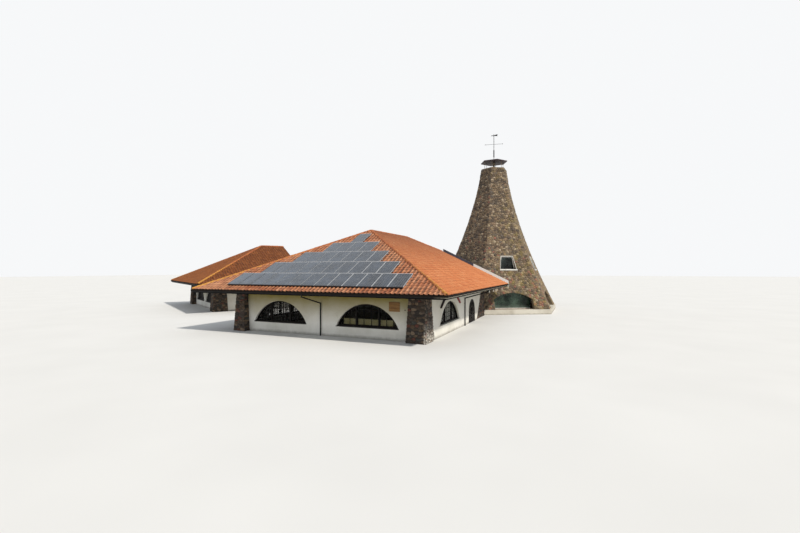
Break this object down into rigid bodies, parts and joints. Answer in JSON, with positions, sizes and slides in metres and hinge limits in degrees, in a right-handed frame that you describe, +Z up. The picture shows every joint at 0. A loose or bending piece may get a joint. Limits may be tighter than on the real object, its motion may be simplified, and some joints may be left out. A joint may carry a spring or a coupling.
{
  "type": "half-size model of an inn with tiled pavilions and a flared stone tower",
  "caption": "Low plastered pavilions with hipped pantile roofs, stone piers and lunette windows, solar panels on the front slope, and a tall flared six-sided stone tower with cap and vane.",
  "frame": {"origin": "on the ground under the apex of the front hall roof", "axes": "+Z up, -Y out of the front wall of the hall, +X to its right"},
  "size_m": [24.249, 17.515, 10.286],
  "materials": {
    "plaster": "white painted rough plaster",
    "fieldstone": "dark split fieldstone with red and brown stones",
    "tower_stone": "small grey and beige rubble with light mortar",
    "red_tiles": "terracotta pantiles with lichen",
    "brown_tiles": "weathered brown pantiles",
    "ridge_tiles": "orange ridge tiles with yellow lichen",
    "dark_metal": "black painted sheet metal",
    "flashing": "grey sheet flashing",
    "solar_glass": "dark blue panel glass in aluminium frames",
    "window_wood": "dark stained wood",
    "window_glass": "dark window glass",
    "teal_glass": "green tinted window glass",
    "door_wood": "dark stained wood with glass",
    "red_wood": "dark red painted wood",
    "slat_wood": "bare light wood slats",
    "floor": "plain tiled floor",
    "white_concrete": "white painted concrete",
    "white_frame": "white painted wood",
    "cap_metal": "dark purple brown sheet metal",
    "mast_metal": "dark grey painted steel",
    "roofing_felt": "dark bitumen roofing felt"
  },
  "bodies": {
    "root": {"hall_floor": "floor", "hall_front_wall": "plaster", "hall_right_wall": "plaster", "hall_door_lintel": "plaster", "hall_door_jamb": "plaster", "hall_stone_wall": "fieldstone", "hall_left_wall": "plaster", "hall_rear_wall": "plaster", "hall_piers": "fieldstone", "hall_roof_front": "red_tiles", "hall_roof_right": "red_tiles", "hall_roof_left": "red_tiles", "hall_roof_clip": "red_tiles", "hall_ridge_tiles": "ridge_tiles", "hall_gutters": "dark_metal", "hall_verge_strip": "flashing", "hall_downpipes": "dark_metal", "solar_panels": "solar_glass", "hall_front_windows": "window_wood", "hall_right_window": "window_wood", "hall_left_window": "window_wood", "hall_glass": "window_glass", "door_frame": "door_wood", "eave_struts": "red_wood", "slatted_board": "slat_wood", "tower_plinth": "white_concrete", "tower_floor": "floor", "tower_wall_1": "tower_stone", "tower_wall_2": "tower_stone", "tower_wall_3": "tower_stone", "tower_wall_4": "tower_stone", "tower_wall_5": "tower_stone", "tower_wall_6": "tower_stone", "tower_windows": "white_frame", "tower_glass": "teal_glass", "tower_crown": "tower_stone", "cap_plate": "cap_metal", "mast": "mast_metal", "wing_floor": "floor", "wing_front_wall": "plaster", "wing_side_walls": "plaster", "wing_rear_wall": "plaster", "wing_piers": "fieldstone", "wing_roof": "brown_tiles", "wing_ridge_tiles": "ridge_tiles", "wing_gutters": "dark_metal", "wing_windows": "window_wood", "link_walls": "plaster", "link_roof": "roofing_felt", "link_windows": "window_wood"},
    "front_door": {"door_leaf_front": "door_wood"},
    "rear_door": {"door_leaf_rear": "door_wood"},
    "vane": {"vane": "mast_metal"}
  },
  "joints": [
    {"name": "front_door_hinge", "type": "hinge", "parent": "root", "child": "front_door", "pos_m": [3.933, 1.508, 0], "axis": [0, 0, -1], "range_deg": [0, 100]},
    {"name": "rear_door_hinge", "type": "hinge", "parent": "root", "child": "rear_door", "pos_m": [3.933, 2.542, 0], "axis": [0, 0, 1], "range_deg": [0, 100]},
    {"name": "vane_turn", "type": "hinge", "parent": "root", "child": "vane", "pos_m": [3.605, 8.75, 10.137], "axis": [0, 0, 1], "continuous": true}
  ]
}
